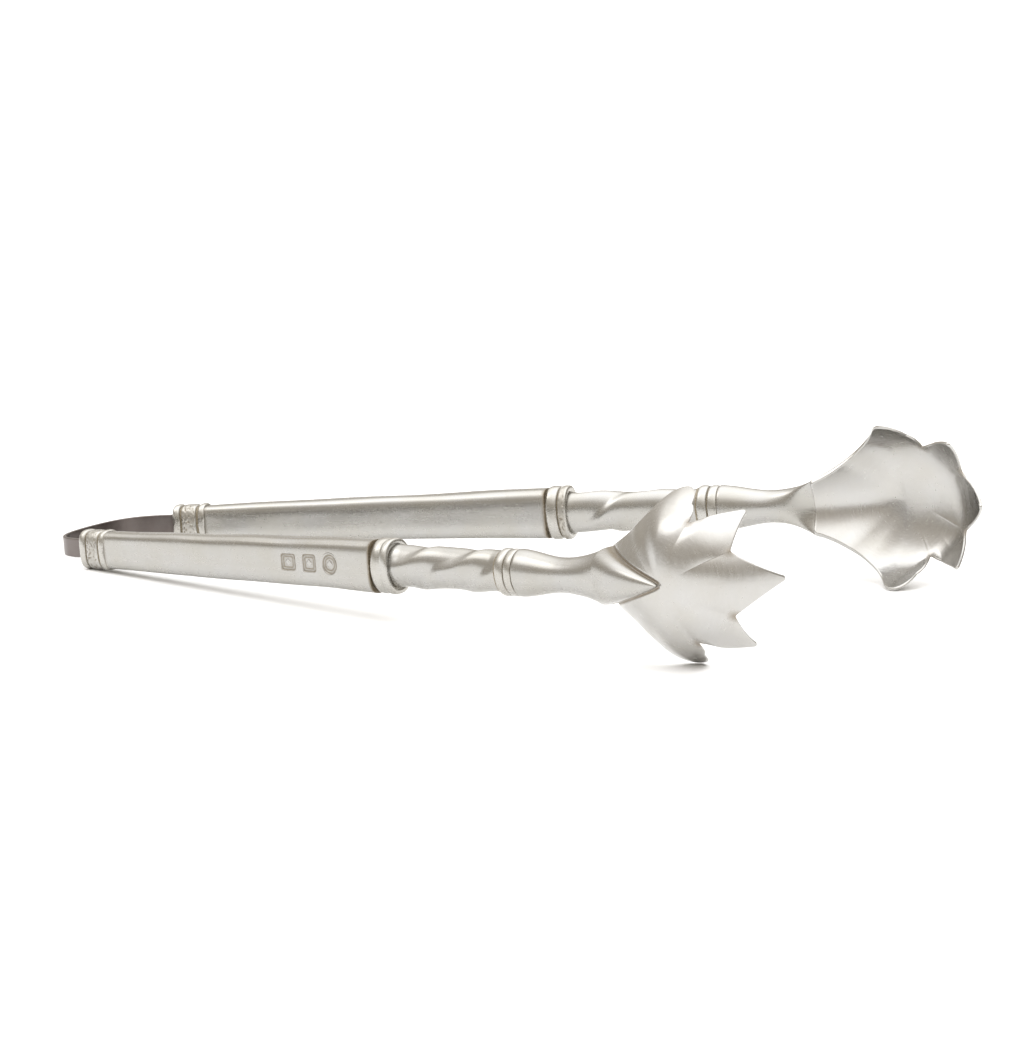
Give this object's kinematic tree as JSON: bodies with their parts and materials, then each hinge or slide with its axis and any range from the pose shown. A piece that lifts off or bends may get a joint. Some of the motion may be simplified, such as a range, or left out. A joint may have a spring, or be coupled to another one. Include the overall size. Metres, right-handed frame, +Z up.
{
  "type": "ice tongs",
  "caption": "Spring ice tongs: cast arms with flat grips, twisted stems and claw-like petalled cups, joined by a bowed steel strip that opens them.",
  "frame": {"origin": "centre of the overall box in plan, on the table the tongs lie on", "axes": "+X from the spring's bow to the cups along the line that halves the angle between the arms, +Y towards the far arm, +Z up from the table"},
  "size_m": [0.251, 0.1316, 0.0438],
  "materials": {
    "pewter": "satin cast pewter, softly polished by hand",
    "patinated_pewter": "satin cast pewter with dark brown patina left in the grooves",
    "spring_steel": "brownish tempered steel strip, brushed lengthwise"
  },
  "bodies": {
    "spring": {"spring_strip": "spring_steel"},
    "near_arm": {"near_end_ferrule": "patinated_pewter", "near_handle": "pewter", "near_spring_anchor": "pewter", "near_anchor_pin": "spring_steel", "near_handle_collar": "patinated_pewter", "near_twisted_stem": "pewter", "near_stem_collar": "patinated_pewter", "near_neck": "pewter", "near_cup": "pewter"},
    "far_arm": {"far_end_ferrule": "patinated_pewter", "far_handle": "pewter", "far_spring_anchor": "pewter", "far_anchor_pin": "spring_steel", "far_handle_collar": "patinated_pewter", "far_twisted_stem": "pewter", "far_stem_collar": "patinated_pewter", "far_neck": "pewter", "far_cup": "pewter"}
  },
  "joints": [
    {"name": "near_arm_flex", "type": "hinge", "parent": "spring", "child": "near_arm", "pos_m": [-0.11948, -0.01208, 0.00456], "axis": [-0.079, 0, 0.9969], "range_deg": [-2, 11.8], "stiffness_Nm_per_rad": 3.7, "deforming": ["spring_strip"]},
    {"name": "far_arm_flex", "type": "hinge", "parent": "spring", "child": "far_arm", "pos_m": [-0.11948, 0.01208, 0.00456], "axis": [-0.079, 0, 0.9969], "range_deg": [-11.8, 2], "stiffness_Nm_per_rad": 3.7}
  ],
  "couplings": [
    {"joint": "far_arm_flex", "follows": "near_arm_flex", "ratio": -1}
  ]
}
